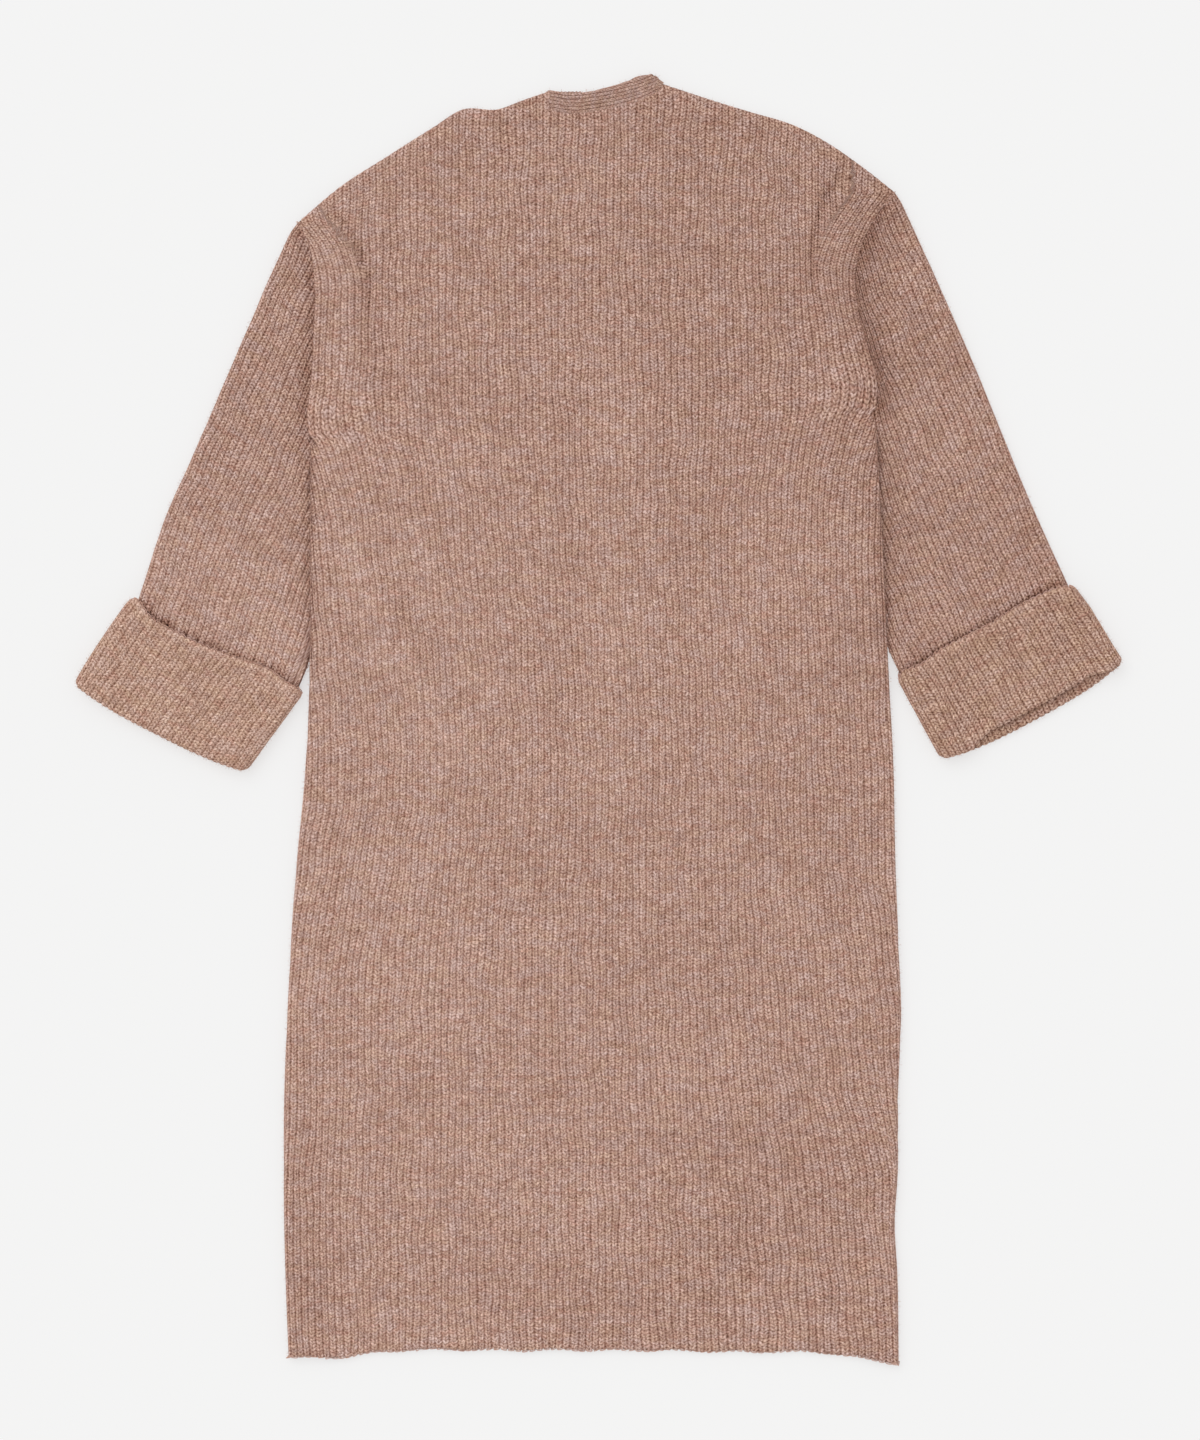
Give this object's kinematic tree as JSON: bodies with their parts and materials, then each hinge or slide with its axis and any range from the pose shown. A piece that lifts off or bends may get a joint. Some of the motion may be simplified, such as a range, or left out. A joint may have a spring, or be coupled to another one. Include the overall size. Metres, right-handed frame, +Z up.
{
  "type": "cardigan",
  "caption": "Long open-front rib-knit cardigan with dropped shoulders and turned-back cuffs, laid flat with its back uppermost.",
  "frame": {"origin": "on the floor under the middle of the laid garment's box", "axes": "+X to the viewer's right across the garment, which is its wearer's right, +Y from hem to neck, +Z up from the floor, out of the back"},
  "size_m": [0.896, 1.1022, 0.0198],
  "materials": {
    "rib_knit": "soft brushed melange wool rib, dusty pinkish beige flecked with brown, ochre and grey",
    "band_knit": "the same yarn in a finer rib that runs along the band"
  },
  "bodies": {
    "root": {"back": "rib_knit", "neckband": "band_knit", "front_left": "rib_knit", "front_right": "rib_knit", "band_left": "band_knit", "band_right": "band_knit", "sleeve_left": "rib_knit", "sleeve_right": "rib_knit", "cuff_left": "rib_knit", "cuff_right": "rib_knit"}
  },
  "joints": []
}
